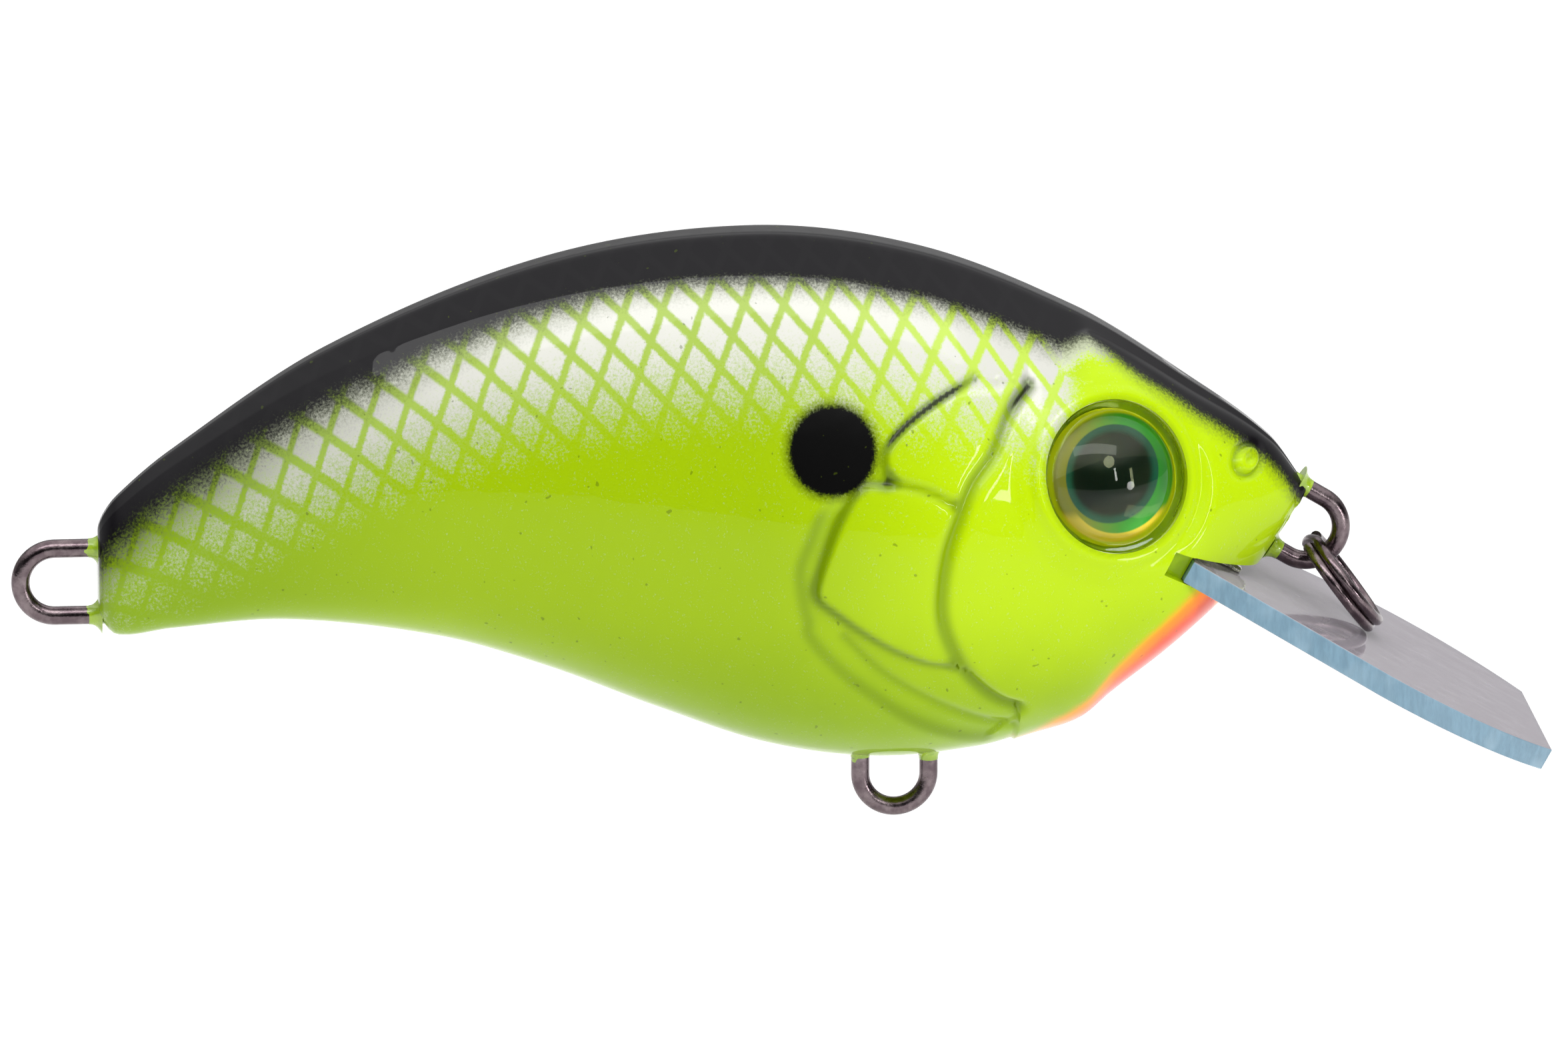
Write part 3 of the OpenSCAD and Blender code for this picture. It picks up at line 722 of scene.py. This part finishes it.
def painted_shell(cfg):
    """Airbrushed lacquer on moulded ABS under a deep epoxy clear coat: saturated colour, soft speckled spray
    edges, painted shade in the gill grooves and towards the belly, and one sharp wet-looking highlight on top
    of everything."""
    mat, t = new_material("airbrushed_lacquer_under_clear_coat")
    where = add(t, "TexCoord").outputs["Object"]
    at = add(t, "SeparateXYZ", {0: where})
    skin = add(t, "SeparateXYZ", {0: add(t, "UVMap", uv_map="skin").outputs[0]})
    shade = add(t, "SeparateXYZ", {0: add(t, "UVMap", uv_map="shade").outputs[0]})
    along = calc(t, "MULTIPLY", skin.outputs[0], 100)
    below = calc(t, "MULTIPLY_ADD", skin.outputs[1], 100, -10)
    dark, throat = shade.outputs[0], shade.outputs[1]
    x_mm, z_mm = calc(t, "DIVIDE", at.outputs[0], MM), calc(t, "DIVIDE", at.outputs[2], MM)
    fine = calc(t, "SUBTRACT", grain(t, where, 7, 3, .7), .5)      # spray droplets, about 0.15 mm
    soft = calc(t, "SUBTRACT", grain(t, where, .35, 2), .5)

    # base: chartreuse, paler on the head, with painted shade that darkens it towards the belly, and deeper
    # green over the tail
    base = blend(t, scaled(t, along, 31, 17), linear(cfg.base), linear(cfg.head))
    # painted shade: darker green towards the bottom, where less light falls on the belly
    low = scaled(t, calc(t, "MULTIPLY_ADD", soft, 2.0, z_mm), -1.0, -11.5, 0, .9)
    low = calc(t, "MAXIMUM", low, scaled(t, along, 44, 62, 0, .9))
    base = blend(t, low, base, linear(cfg.belly))

    # pearl scales sprayed through a stretched net
    lines = []
    for degrees, side, pitch in ((68, 1, cfg.scale_pitch * math.sin(math.radians(68))),
                                 (50, -1, cfg.scale_pitch * math.sin(math.radians(50)))):
        a = math.radians(degrees)
        run = calc(t, "MULTIPLY_ADD", below, side * math.cos(a) / pitch,
                   calc(t, "MULTIPLY", along, -math.sin(a) / pitch))
        run = calc(t, "MULTIPLY_ADD", soft, .10, run)
        off = calc(t, "ABSOLUTE", calc(t, "SUBTRACT", calc(t, "FRACT", run), .5))
        off = calc(t, "MULTIPLY", calc(t, "SUBTRACT", .5, off), pitch)      # millimetres from the net's cord
        off = calc(t, "MULTIPLY_ADD", fine, .22, off)
        lines.append(scaled(t, off, cfg.net_line * .32, cfg.net_line * .78))
    cell = calc(t, "MULTIPLY", *lines)
    fade = calc(t, "MULTIPLY", scaled(t, below, 9.6, 2.2, smooth=False), scaled(t, along, 12.2, 14.5))
    fade = calc(t, "MULTIPLY", fade, scaled(t, along, 64, 52, .35, 1))
    spray = scaled(t, calc(t, "MULTIPLY_ADD", fine, 1.3, fade), .06, .85)
    pearl = calc(t, "MULTIPLY", spray, calc(t, "MULTIPLY_ADD", cell, .86, .14))
    over_eye = calc(t, "MULTIPLY", scaled(t, along, 9.5, 12), scaled(t, along, 16, 13.5))
    brow = calc(t, "MULTIPLY", scaled(t, below, 3.4, .6), over_eye)
    brow = scaled(t, calc(t, "MULTIPLY_ADD", fine, 1.4, brow), .3, .8, 0, .8)
    pearl = calc(t, "MAXIMUM", pearl, brow)
    colour = blend(t, pearl, base, linear(cfg.pearl))

    # black back: solid above the crease, misted below it, broad over the tail
    rear = scaled(t, along, 34, 58)
    widen = calc(t, "MULTIPLY_ADD", rear, 1.25, scaled(t, along, 13.5, 9, 0, 1.3))
    mist = calc(t, "DIVIDE", calc(t, "SUBTRACT", widen, below), calc(t, "MULTIPLY_ADD", rear, .9, .8))
    mist = calc(t, "MULTIPLY_ADD", fine, 1.9, calc(t, "MULTIPLY_ADD", soft, .5, mist))
    olive = scaled(t, mist, -2.3, .1, 0, .75)
    colour = blend(t, olive, colour, linear(cfg.mist))
    colour = blend(t, scaled(t, mist, -1.15, .15), colour, linear(cfg.back))

    # gill lines (airbrush and painted shade), shoulder spot and throat
    # painted shade: grooves, recessed band, nostril and lens rim darkened, partly airbrushed paint
    colour = blend(t, scaled(t, dark, .05, .75, 0, .72), colour, linear(cfg.shade))
    colour = blend(t, scaled(t, dark, .72, 1.0, 0, .9), colour, linear(cfg.back))
    dx, dz = calc(t, "SUBTRACT", x_mm, SHOULDER_SPOT[0]), calc(t, "SUBTRACT", z_mm, SHOULDER_SPOT[1])
    reach = calc(t, "SQRT", calc(t, "ADD", calc(t, "MULTIPLY", dx, dx), calc(t, "MULTIPLY", dz, dz)))
    reach = calc(t, "MULTIPLY_ADD", fine, .55, reach)
    colour = blend(t, scaled(t, reach, 2.95, 2.3, 0, .6), colour, linear(cfg.mist))
    colour = blend(t, scaled(t, reach, 2.5, 2.15), colour, linear(cfg.spot))
    sore = calc(t, "MULTIPLY_ADD", soft, .25, calc(t, "MULTIPLY_ADD", fine, .12, throat))
    colour = blend(t, scaled(t, sore, .12, .55), colour, linear(cfg.throat))
    colour = blend(t, scaled(t, sore, .5, .95), colour, linear(cfg.throat_deep))
    # stray droplets and dust under the clear coat
    dust = scaled(t, grain(t, where, 3.2, 0), .83, .85, 0, .45)
    colour = blend(t, dust, colour, linear(cfg.mist))

    peel = grain(t, where, .55, 1)
    bump = add(t, "Bump", {"Height": peel, "Distance": .02 * MM, "Strength": 1.0})
    metal = calc(t, "MULTIPLY", pearl, .25)
    shader = add(t, "BsdfPrincipled", {"Base Color": colour, "Metallic": metal, "Roughness": .42,
                                       "IOR": 1.5, "Specular IOR Level": .06,
                                       "Coat Weight": .75, "Coat Roughness": .02, "Coat IOR": 1.26,
                                       "Normal": bump.outputs[0], "Coat Normal": bump.outputs[0]})
    return finish_material(mat, shader)


def raw_abs():
    """Unpainted moulded ABS inside the shell: ivory, satin, a faint moulding texture."""
    mat, t = new_material("moulded_abs")
    where = add(t, "TexCoord").outputs["Object"]
    tone = grain(t, where, .2, 2)
    colour = blend(t, tone, linear("#E9E4D2"), linear("#D9D2BC"))
    bump = add(t, "Bump", {"Height": grain(t, where, 4, 2), "Distance": .01 * MM})
    return finish_material(mat, add(t, "BsdfPrincipled", {"Base Color": colour, "Roughness": .48, "IOR": 1.53,
                                                          "Normal": bump.outputs[0]}))


def polycarbonate(cfg):
    """Clear polycarbonate sheet: glossy, partly see-through, finely rubbed; its grey-mauve base colour is
    painted reflection of the surroundings in the clear faces.
    """
    mat, t = new_material("polycarbonate_sheet")
    where = add(t, "TexCoord").outputs["Object"]
    rub = grain(t, add(t, "Mapping", {"Vector": where, "Scale": (.25, 1, 1)}).outputs[0], 1.1, 4, .6)
    # painted reflection: the faces' grey-mauve colour, lighter where rubbed
    colour = blend(t, scaled(t, rub, .3, .7), linear(cfg.face), linear(cfg.face_light))
    rough = scaled(t, rub, .35, .75, .03, .11)
    shader = add(t, "BsdfPrincipled", {"Base Color": colour, "Roughness": rough, "IOR": 1.585,
                                       "Transmission Weight": cfg.clear, "Specular IOR Level": .3})
    return finish_material(mat, shader)


def sawn_edge(cfg):
    """Sawn and scraped polycarbonate edge: frosted blue-grey with fine saw marks across it."""
    mat, t = new_material("sawn_polycarbonate_edge")
    where = add(t, "TexCoord").outputs["Object"]
    marks = grain(t, add(t, "Mapping", {"Vector": where, "Scale": (1, 1, .18)}).outputs[0], 3.4, 4, .65)
    broad = grain(t, where, .5, 2)
    colour = blend(t, scaled(t, marks, .3, .72), linear(cfg.edge_deep), linear(cfg.edge))
    colour = blend(t, scaled(t, broad, .45, .8, 0, .4), colour, linear("#A9C3D2"))
    bump = add(t, "Bump", {"Height": marks, "Distance": .05 * MM, "Strength": .8})
    shader = add(t, "BsdfPrincipled", {"Base Color": colour, "Roughness": .34, "IOR": 1.585,
                                       "Transmission Weight": .12, "Normal": bump.outputs[0]})
    return finish_material(mat, shader)


def clear_cement():
    """Cured clear epoxy: water-clear with a faint yellow cast and a wet shine."""
    mat, t = new_material("clear_epoxy_cement")
    where = add(t, "TexCoord").outputs["Object"]
    bump = add(t, "Bump", {"Height": grain(t, where, 1.6, 2), "Distance": .08 * MM})
    colour = blend(t, grain(t, where, .8, 1), linear("#DDE0BE"), linear("#F3F2E4"))
    shader = add(t, "BsdfPrincipled", {"Base Color": colour, "Roughness": .06, "IOR": 1.54,
                                       "Transmission Weight": .85, "Normal": bump.outputs[0]})
    return finish_material(mat, shader)


def nickel_wire(name, cfg, painted, paint):
    """Black-nickel plated wire: dark warm metal with fine draw lines, and lacquer dabs by the body."""
    mat, t = new_material(name)
    where = add(t, "TexCoord").outputs["Object"]
    wear = grain(t, where, 1.2, 4, .6)
    colour = blend(t, scaled(t, wear, .35, .75), linear(cfg.wire), linear(cfg.wire_light))
    bump = add(t, "Bump", {"Height": grain(t, where, 6, 3), "Distance": .012 * MM})
    shader = add(t, "BsdfPrincipled", {"Base Color": colour, "Metallic": 1.0,
                                       "Roughness": scaled(t, wear, .3, .8, .16, .34),
                                       "Normal": bump.outputs[0]})
    if painted:
        dab = add(t, "Attribute", attribute_name="dab").outputs["Fac"]
        ragged = calc(t, "SUBTRACT", grain(t, where, 1.3, 3), .5)
        edge = scaled(t, calc(t, "MULTIPLY_ADD", ragged, 2.4, dab), .62, .72)
        lacquer = add(t, "BsdfPrincipled", {"Base Color": linear(paint.base), "Roughness": .35, "IOR": 1.5,
                                            "Coat Weight": 1.0, "Coat Roughness": .05})
        shader = add(t, "MixShader", {0: edge, 1: shader.outputs[0], 2: lacquer.outputs[0]})
    return finish_material(mat, shader)


def lacquer(paint):
    """The body's chartreuse lacquer where it is drawn up the wires: thick, glossy and slightly lumpy."""
    mat, t = new_material("lacquer_fillet")
    where = add(t, "TexCoord").outputs["Object"]
    lump = grain(t, where, 2.5, 3)
    colour = blend(t, scaled(t, lump, .35, .75), linear(paint.base), linear(paint.belly))
    bump = add(t, "Bump", {"Height": lump, "Distance": .1 * MM})
    return finish_material(mat, add(t, "BsdfPrincipled", {"Base Color": colour, "Roughness": .35, "IOR": 1.5,
                                                          "Coat Weight": .8, "Coat Roughness": .04,
                                                          "Normal": bump.outputs[0]}))


def lens_resin():
    """Cast clear epoxy dome with a yellow-green cast: high gloss, magnifies the print."""
    mat, t = new_material("cast_epoxy_dome")
    where = add(t, "TexCoord").outputs["Object"]
    colour = blend(t, grain(t, where, .15, 1), linear("#E6EDB8"), linear("#F0F3CC"))
    return finish_material(mat, add(t, "BsdfPrincipled", {"Base Color": colour, "Roughness": .01, "IOR": 1.28,
                                                          "Transmission Weight": 1.0}))


def eye_print():
    """Printed holographic foil: flat ink pupil and bands of metallic green and gold round it."""
    mat, t = new_material("printed_foil")
    uv = add(t, "SeparateXYZ", {0: add(t, "UVMap", uv_map="print").outputs[0]})
    forward = calc(t, "MULTIPLY_ADD", uv.outputs[0], 10, -5)
    up = calc(t, "MULTIPLY_ADD", uv.outputs[1], 10, -5)
    r = calc(t, "SQRT", calc(t, "ADD", calc(t, "MULTIPLY", forward, forward), calc(t, "MULTIPLY", up, up)))
    where = add(t, "TexCoord").outputs["Object"]
    flake = calc(t, "SUBTRACT", grain(t, where, 5, 2), .5)
    ahead = scaled(t, calc(t, "MULTIPLY_ADD", flake, .8, forward), -2.2, 1.0)
    colour = blend(t, ahead, linear("#98932E"), linear("#2E9B3C"))
    lower = calc(t, "SQRT", calc(t, "ADD", calc(t, "POWER", calc(t, "SUBTRACT", forward, .35), 2),
                                 calc(t, "POWER", calc(t, "ADD", up, .05), 2)))
    gold = calc(t, "MULTIPLY", scaled(t, up, -1.3, -1.9), scaled(t, lower, 2.5, 2.6))
    colour = blend(t, gold, colour, linear("#F0CE50"))
    colour = blend(t, scaled(t, r, 3.0, 3.25), colour, linear("#CDD312"))
    centre = calc(t, "SQRT", calc(t, "ADD", calc(t, "MULTIPLY", forward, forward),
                                  calc(t, "POWER", calc(t, "SUBTRACT", up, .2), 2)))
    colour = blend(t, scaled(t, centre, 2.32, 2.22), colour, linear("#0F5560"))
    colour = blend(t, scaled(t, centre, 2.15, 1.75), colour, linear("#06181C"))
    metal = scaled(t, centre, 2.2, 2.4, 0, .4)
    shader = add(t, "BsdfPrincipled", {"Base Color": colour, "Metallic": metal, "Roughness": .35,
                                       "Specular IOR Level": .1})
    return finish_material(mat, shader)


def weight_steel():
    """Bright carbon-steel balls and slug: tumbled smooth, faint scuffs."""
    mat, t = new_material("tumbled_steel")
    where = add(t, "TexCoord").outputs["Object"]
    scuff = grain(t, where, 1.5, 4, .6)
    colour = blend(t, scuff, linear("#A8A8A6"), linear("#C6C5C1"))
    return finish_material(mat, add(t, "BsdfPrincipled", {"Base Color": colour, "Metallic": 1.0,
                                                          "Roughness": scaled(t, scuff, .3, .8, .14, .32)}))


def studio_floor(cfg):
    """Matt white acrylic sheet: nearly even, a trace of mottling."""
    mat, t = new_material("white_acrylic_sheet")
    where = add(t, "TexCoord").outputs["Object"]
    colour = blend(t, grain(t, where, .02, 2), linear(cfg.floor), linear("#FFFFFF"))
    return finish_material(mat, add(t, "BsdfPrincipled", {"Base Color": colour, "Roughness": .75}))


# ---- settings -------------------------------------------------------------------------------------------
def colour_setting(name, text, default):
    return StringProperty(name=name, description=text, default=default)


class LureBodySettings(bpy.types.PropertyGroup):
    head_step: FloatProperty(name="Head row spacing",
                             description="Spacing of the skin's rows from the nose to the gill covers, in mm",
                             default=.115, min=.08, max=.4)
    tail_step: FloatProperty(name="Tail row spacing",
                             description="Spacing of the skin's rows over the body and tail, in mm",
                             default=.27, min=.1, max=.6)
    tail_round: FloatProperty(name="Tail edge radius",
                              description="Radius round the cut end of the tail, in mm",
                              default=.5, min=.1, max=1)
    gill_depth: FloatProperty(name="Gill relief",
                              description="Height of the moulded gill covers, in mm",
                              default=.34, min=0, max=.8)
    prow_rough: FloatProperty(name="Prow roughness",
                              description="Height of the scraped marks on the prow, in mm",
                              default=.16, min=0, max=.4)
    recess_at: FloatProperty(name="Recess floor",
                             description="Distance of the recess's floor from the middle plane, in mm",
                             default=5.35, min=4.5, max=7)
    bezel_low: FloatProperty(name="Bezel height",
                             description="Height of the rim over the eye's centre plane, in mm",
                             default=-.25, min=-1, max=.3)
    bezel_reach: FloatProperty(name="Bezel reach",
                               description="Radius at which the swelling round each eye ends, in mm",
                               default=6.0, min=5, max=7.5)


class LurePaintSettings(bpy.types.PropertyGroup):
    base: colour_setting("Base", "Main chartreuse", "#8EAC00")
    head: colour_setting("Head", "Paler chartreuse of the head", "#ABCB00")
    # painted shade: the darker green painted towards the bottom of the body and over the tail
    belly: colour_setting("Belly", "Deeper green under the belly and on the tail", "#7A9A00")
    pearl: colour_setting("Pearl", "Silver-white of the scales", "#BDBDB6")
    back: colour_setting("Back", "Black of the back", "#0B090D")
    mist: colour_setting("Mist", "Olive where black spray thins over chartreuse", "#3E4A08")
    # gill shade: airbrushed paint on some gill lines, and the colour of the painted shade in the grooves
    shade: colour_setting("Gill shade", "Airbrushed shade in the gill lines", "#4F6800")
    spot: colour_setting("Spot", "Black of the shoulder spot", "#020202")
    throat: colour_setting("Throat", "Orange of the throat", "#FF8600")
    throat_deep: colour_setting("Deep throat", "Red at the middle of the throat", "#D83A00")
    scale_pitch: FloatProperty(name="Scale pitch",
                               description="Spacing of the scales along the body, in mm",
                               default=2.15, min=1, max=5)
    net_line: FloatProperty(name="Net line",
                            description="Width of the lines between the scales, in mm",
                            default=.38, min=.1, max=1)


class LureBillSettings(bpy.types.PropertyGroup):
    # painted reflection: the grey-mauve that the clear faces show
    face: colour_setting("Face", "Tint of the bill's faces", "#A59EA6")
    face_light: colour_setting("Face light", "Lighter tint where it is rubbed", "#AEA8B0")
    edge: colour_setting("Edge", "Frosted edge", "#7698AC")
    edge_deep: colour_setting("Edge marks", "Saw marks in the edge", "#69899C")
    clear: FloatProperty(name="Clearness",
                         description="Share of the light that passes the faces",
                         default=.3, min=0, max=1, subtype="FACTOR")
    edge_round: FloatProperty(name="Edge rounding",
                              description="Width of the broken edge round the bill, in mm",
                              default=.07, min=.01, max=.2)


class LureWireSettings(bpy.types.PropertyGroup):
    wire: colour_setting("Wire", "Black-nickel plating", "#5A4E52")
    wire_light: colour_setting("Wire wear", "Plating where it is rubbed", "#7E7274")


class LureStageSettings(bpy.types.PropertyGroup):
    floor: colour_setting("Floor", "Colour of the floor", "#FBFBFB")
    azimuth: FloatProperty(name="Camera azimuth",
                           description="Turn of the camera towards the tail, in degrees",
                           default=5.0)
    elevation: FloatProperty(name="Camera elevation",
                             description="Height of the camera over the horizon, in degrees",
                             default=14.0)
    key: FloatProperty(name="Key light", description="Power of the overhead panel, in watts",
                       default=.62, min=0)
    fill: FloatProperty(name="Fill light", description="Power shared by the strip and the round lamp, in watts",
                        default=.28, min=0)
    sky: FloatProperty(name="Surroundings", description="Brightness of the pale room",
                       default=.86, min=0)


# ---- operators ---------------------------------------------------------------------------------------------
class LURE_OT_body(bpy.types.Operator):
    """Two painted half shells with gill covers, bezels and the bill's slot"""
    bl_idname = "lure.body"
    bl_label = "Painted body"

    def execute(self, context):
        paint = painted_shell(context.scene.lure_paint)
        build_halves(context.scene.lure_body, [paint, raw_abs()])
        return {"FINISHED"}


class LURE_OT_bill(bpy.types.Operator):
    """Polycarbonate bill with sawn edges"""
    bl_idname = "lure.bill"
    bl_label = "Bill"

    def execute(self, context):
        cfg = context.scene.lure_bill
        build_bill(cfg, polycarbonate(cfg), sawn_edge(cfg))
        return {"FINISHED"}


class LURE_OT_cement(bpy.types.Operator):
    """Bead of clear cement at the bill's root"""
    bl_idname = "lure.cement"
    bl_label = "Cement bead"

    def execute(self, context):
        build_glue(clear_cement())
        return {"FINISHED"}


class LURE_OT_links(bpy.types.Operator):
    """Line tie, belly eye and tail eye"""
    bl_idname = "lure.links"
    bl_label = "Wire eyes"

    def execute(self, context):
        paint = context.scene.lure_paint
        mat = nickel_wire("black_nickel_wire_with_lacquer", context.scene.lure_wire, True, paint)
        names = (("line_tie_wire", "line_tie", .9), ("belly_wire", "belly_hanger", .85),
                 ("tail_wire", "tail_hanger", 1.7))
        for (name, node, painted_from), (at, turn, _) in zip(names, LINKS):
            build_link(name, node, at, turn, painted_from, mat)
        build_collars(lacquer(paint))
        return {"FINISHED"}


class LURE_OT_ring(bpy.types.Operator):
    """Split ring on the line tie"""
    bl_idname = "lure.ring"
    bl_label = "Split ring"

    def execute(self, context):
        build_ring(nickel_wire("black_nickel_ring_wire", context.scene.lure_wire, False, None))
        return {"FINISHED"}


class LURE_OT_eyes(bpy.types.Operator):
    """Printed foils under clear domes"""
    bl_idname = "lure.eyes"
    bl_label = "Eyes"

    def execute(self, context):
        resin, foil = lens_resin(), eye_print()
        for word, side in (("left", 1), ("right", -1)):
            build_lens(f"eye_dome_{word}", f"eye_lens_{word}", side, resin)
            build_foil(f"eye_print_{word}", f"eye_foil_{word}", side, foil)
        return {"FINISHED"}


class LURE_OT_inside(bpy.types.Operator):
    """Rattle tubes, and steel on the slug and balls"""
    bl_idname = "lure.inside"
    bl_label = "Weights and rattles"

    def execute(self, context):
        plastic, steel = raw_abs(), weight_steel()
        for i, (x, z, half, ball_d) in enumerate(RATTLE_TUBES):
            build_tube(f"rattle_tube_{i + 1}", x, z, half, ball_d, plastic)
        for name in ("chest_slug", "ballast_ball", "rattle_ball_front", "rattle_ball_middle",
                     "rattle_ball_rear"):
            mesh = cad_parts[name].data
            mesh.materials.clear()
            mesh.materials.append(steel)
        return {"FINISHED"}


class LURE_OT_stage(bpy.types.Operator):
    """Pale floor, soft lights and the camera"""
    bl_idname = "lure.stage"
    bl_label = "Stage"

    def execute(self, context):
        cfg, scene = context.scene.lure_stage, context.scene
        lowest = CAD_BOX[0].z
        bm = bmesh.new()
        level = Matrix.Translation((0, 0, lowest - FLOOR_DROP))
        bmesh.ops.create_grid(bm, x_segments=4, y_segments=4, size=3.0, matrix=level)
        mesh = bpy.data.meshes.new("floor")
        bm.to_mesh(mesh)
        bm.free()
        mesh.materials.append(studio_floor(cfg))
        floor = bpy.data.objects.new("floor", mesh)
        scene.collection.objects.link(floor)

        world = bpy.data.worlds.new("pale_room")
        world.use_nodes = True
        world.node_tree.nodes.clear()
        # a white room with its near side flagged off in black, so that dark paint stays dark
        tree = world.node_tree
        toward = add(tree, "SeparateXYZ", {0: add(tree, "TexCoord").outputs["Generated"]})
        flag = scaled(tree, toward.outputs[1], -.35, .25, .16, 1)
        ceiling = scaled(tree, toward.outputs[2], .40, .75, .30, 1.9)
        walls = calc(tree, "MULTIPLY", flag, .55)
        unflagged = calc(tree, "MAXIMUM", flag, scaled(tree, toward.outputs[2], .35, .6))
        glow = calc(tree, "MULTIPLY", calc(tree, "MAXIMUM", walls, ceiling), unflagged)
        glow = calc(tree, "MULTIPLY", glow, cfg.sky)
        shade = add(tree, "Background", {"Color": linear("#FFFFFF"), "Strength": glow})
        add(tree, "OutputWorld", {"Surface": shade.outputs[0]})
        scene.world = world
        scene.view_settings.view_transform = "Standard"

        middle = Vector((VIEW_MIDDLE, 0, 0)) * MM
        for name, power, size, at in (("overhead_panel", cfg.key, (.40, .10), (-.04, -.20, .32)),
                                      ("front_strip", cfg.fill * .7, (.02, .12), (.14, -.34, .13)),
                                      ("round_lamp", cfg.fill * .9, (.07, .07), (.246, -.265, .012))):
            data = bpy.data.lights.new(name, "AREA")
            data.shape, data.energy = ("DISK" if size[0] == size[1] else "RECTANGLE"), power
            data.size, data.size_y = size
            light = bpy.data.objects.new(name, data)
            light.location = at
            light.rotation_mode = "QUATERNION"
            light.rotation_quaternion = (Vector(at) - middle).to_track_quat("Z", "Y")
            scene.collection.objects.link(light)

        p, e = math.radians(cfg.azimuth), math.radians(cfg.elevation)
        ahead = Vector((math.sin(p) * math.cos(e), math.cos(p) * math.cos(e), -math.sin(e)))
        right = Vector((math.cos(p), -math.sin(p), 0))
        up = right.cross(ahead)
        aim = (right * VIEW_MIDDLE + up * VIEW_RISE) * MM
        data = bpy.data.cameras.new("camera")
        data.lens, data.sensor_width = 400, 36
        distance = data.lens / data.sensor_width * VIEW_WIDTH * MM
        data.clip_start, data.clip_end = .02, 20
        cam = bpy.data.objects.new("camera", data)
        cam.rotation_mode = "QUATERNION"
        cam.location = aim - ahead * distance
        cam.rotation_quaternion = ahead.to_track_quat("-Z", "Y")
        scene.collection.objects.link(cam)
        scene.camera = cam
        return {"FINISHED"}


class LURE_PT_panel(bpy.types.Panel):
    bl_idname = "LURE_PT_panel"
    bl_label = "Crankbait lure"
    bl_space_type = "VIEW_3D"
    bl_region_type = "UI"
    bl_category = "Lure"

    def draw(self, context):
        for operator in OPERATORS:
            self.layout.operator(operator.bl_idname)
        for name, group in GROUPS.items():
            box = self.layout.box()
            for prop in group.__annotations__:
                box.prop(getattr(context.scene, name), prop)


OPERATORS = [LURE_OT_body, LURE_OT_bill, LURE_OT_cement, LURE_OT_links, LURE_OT_ring, LURE_OT_eyes,
             LURE_OT_inside, LURE_OT_stage]
GROUPS = {"lure_body": LureBodySettings, "lure_paint": LurePaintSettings, "lure_bill": LureBillSettings,
          "lure_wire": LureWireSettings, "lure_stage": LureStageSettings}


def register():
    for group in GROUPS.values():
        bpy.utils.register_class(group)
    for operator in OPERATORS:
        bpy.utils.register_class(operator)
    bpy.utils.register_class(LURE_PT_panel)
    for name, group in GROUPS.items():
        setattr(bpy.types.Scene, name, PointerProperty(type=group))


def unregister():
    for name in GROUPS:
        delattr(bpy.types.Scene, name)
    for made in [LURE_PT_panel] + OPERATORS[::-1] + list(GROUPS.values())[::-1]:
        bpy.utils.unregister_class(made)


def main():
    register()
    for operator in OPERATORS:
        getattr(bpy.ops.lure, operator.bl_idname.split(".")[1])()


if __name__ == "__main__":
    main()
